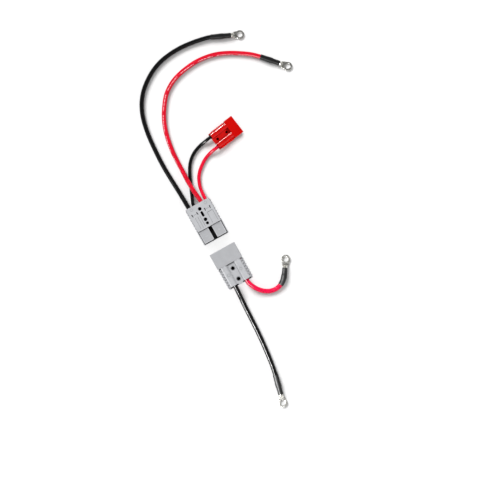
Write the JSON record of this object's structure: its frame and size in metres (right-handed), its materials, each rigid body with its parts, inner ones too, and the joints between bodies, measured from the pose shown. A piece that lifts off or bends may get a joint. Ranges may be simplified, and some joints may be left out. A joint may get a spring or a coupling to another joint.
{
  "type": "battery quick-connect cable harness",
  "caption": "Quick-connect battery harness: genderless two-pole power connectors with ring-lug leads and a small charger connector on short leads.",
  "frame": {"origin": "middle of the harness housing's flat hood face, on the surface it lies on", "axes": "+Z up, +Y from the mating end towards the harness cables, +X to the right seen from above with +Y up"},
  "size_m": [0.2862, 0.5941, 0.023],
  "materials": {
    "grey_plastic": "satin moulded grey polycarbonate",
    "red_plastic": "semi-gloss moulded red polycarbonate",
    "silvered_copper": "silver-plated copper",
    "spring_steel": "stainless spring steel",
    "tinned_copper": "tin-plated copper, satin",
    "bare_copper": "stranded bare copper",
    "black_jacket": "satin black flexible jacket",
    "red_jacket": "satin red flexible jacket",
    "black_sleeve": "matt black heat-shrink sleeve"
  },
  "bodies": {
    "harness": {"harness_housing": "grey_plastic", "harness_negative_spring": "spring_steel", "harness_positive_spring": "spring_steel", "long_black_harness_wire": "bare_copper", "short_black_harness_wire": "bare_copper", "long_red_harness_wire": "bare_copper", "short_red_harness_wire": "bare_copper", "long_black_cable": "black_jacket", "long_black_sleeve": "black_sleeve", "long_black_lug": "tinned_copper", "long_black_lug_wire": "bare_copper", "long_red_cable": "red_jacket", "long_red_sleeve": "black_sleeve", "long_red_lug": "tinned_copper", "long_red_lug_wire": "bare_copper", "short_black_cable": "black_jacket", "short_red_cable": "red_jacket", "short_black_charger_wire": "bare_copper", "short_red_charger_wire": "bare_copper", "charger_housing": "red_plastic", "charger_negative_spring": "spring_steel", "charger_positive_spring": "spring_steel"},
    "battery_half": {"battery_housing": "grey_plastic", "battery_negative_spring": "spring_steel", "battery_positive_spring": "spring_steel", "battery_black_battery_wire": "bare_copper", "battery_red_battery_wire": "bare_copper", "battery_black_cable": "black_jacket", "battery_black_sleeve": "black_sleeve", "battery_black_lug": "tinned_copper", "battery_black_lug_wire": "bare_copper", "battery_red_cable": "red_jacket", "battery_red_sleeve": "black_sleeve", "battery_red_lug": "tinned_copper", "battery_red_lug_wire": "bare_copper"},
    "harness_negative_contact_body": {"harness_negative_contact": "silvered_copper"},
    "harness_positive_contact_body": {"harness_positive_contact": "silvered_copper"},
    "battery_negative_contact_body": {"battery_negative_contact": "silvered_copper"},
    "battery_positive_contact_body": {"battery_positive_contact": "silvered_copper"},
    "charger_negative_contact_body": {"charger_negative_contact": "silvered_copper"},
    "charger_positive_contact_body": {"charger_positive_contact": "silvered_copper"}
  },
  "joints": [
    {"name": "mate_slide", "type": "slide", "parent": "harness", "child": "battery_half", "axis": [0, 1, 0], "range_m": [0, 0.0408]},
    {"name": "harness_negative_contact_flex", "type": "hinge", "parent": "harness", "child": "harness_negative_contact_body", "pos_m": [-0.0116, 0.03575, 0.0115], "axis": [-1, 0, 0], "range_deg": [0, 1], "stiffness_Nm_per_rad": 1, "springref_deg": -1.72, "deforming": ["harness_negative_spring"]},
    {"name": "battery_negative_contact_flex", "type": "hinge", "parent": "battery_half", "child": "battery_negative_contact_body", "pos_m": [-0.0116, -0.08045, 0.0115], "axis": [-1, 0, 0], "range_deg": [0, 1], "stiffness_Nm_per_rad": 1, "springref_deg": -1.72, "deforming": ["battery_negative_spring"]},
    {"name": "charger_negative_contact_flex", "type": "hinge", "parent": "harness", "child": "charger_negative_contact_body", "pos_m": [0.08279, 0.13571, 0.0079], "axis": [-0.154, 0.9881, 0], "range_deg": [0, 1], "stiffness_Nm_per_rad": 1, "springref_deg": -1.72, "deforming": ["charger_negative_spring"]},
    {"name": "harness_positive_contact_flex", "type": "hinge", "parent": "harness", "child": "harness_positive_contact_body", "pos_m": [0.0116, 0.03575, 0.0115], "axis": [-1, 0, 0], "range_deg": [0, 1], "stiffness_Nm_per_rad": 1, "springref_deg": -1.72, "deforming": ["harness_positive_spring"]},
    {"name": "battery_positive_contact_flex", "type": "hinge", "parent": "battery_half", "child": "battery_positive_contact_body", "pos_m": [0.0116, -0.08045, 0.0115], "axis": [-1, 0, 0], "range_deg": [0, 1], "stiffness_Nm_per_rad": 1, "springref_deg": -1.72, "deforming": ["battery_positive_spring"]},
    {"name": "charger_positive_contact_flex", "type": "hinge", "parent": "harness", "child": "charger_positive_contact_body", "pos_m": [0.08539, 0.11901, 0.0079], "axis": [-0.154, 0.9881, 0], "range_deg": [0, 1], "stiffness_Nm_per_rad": 1, "springref_deg": -1.72, "deforming": ["charger_positive_spring"]}
  ]
}
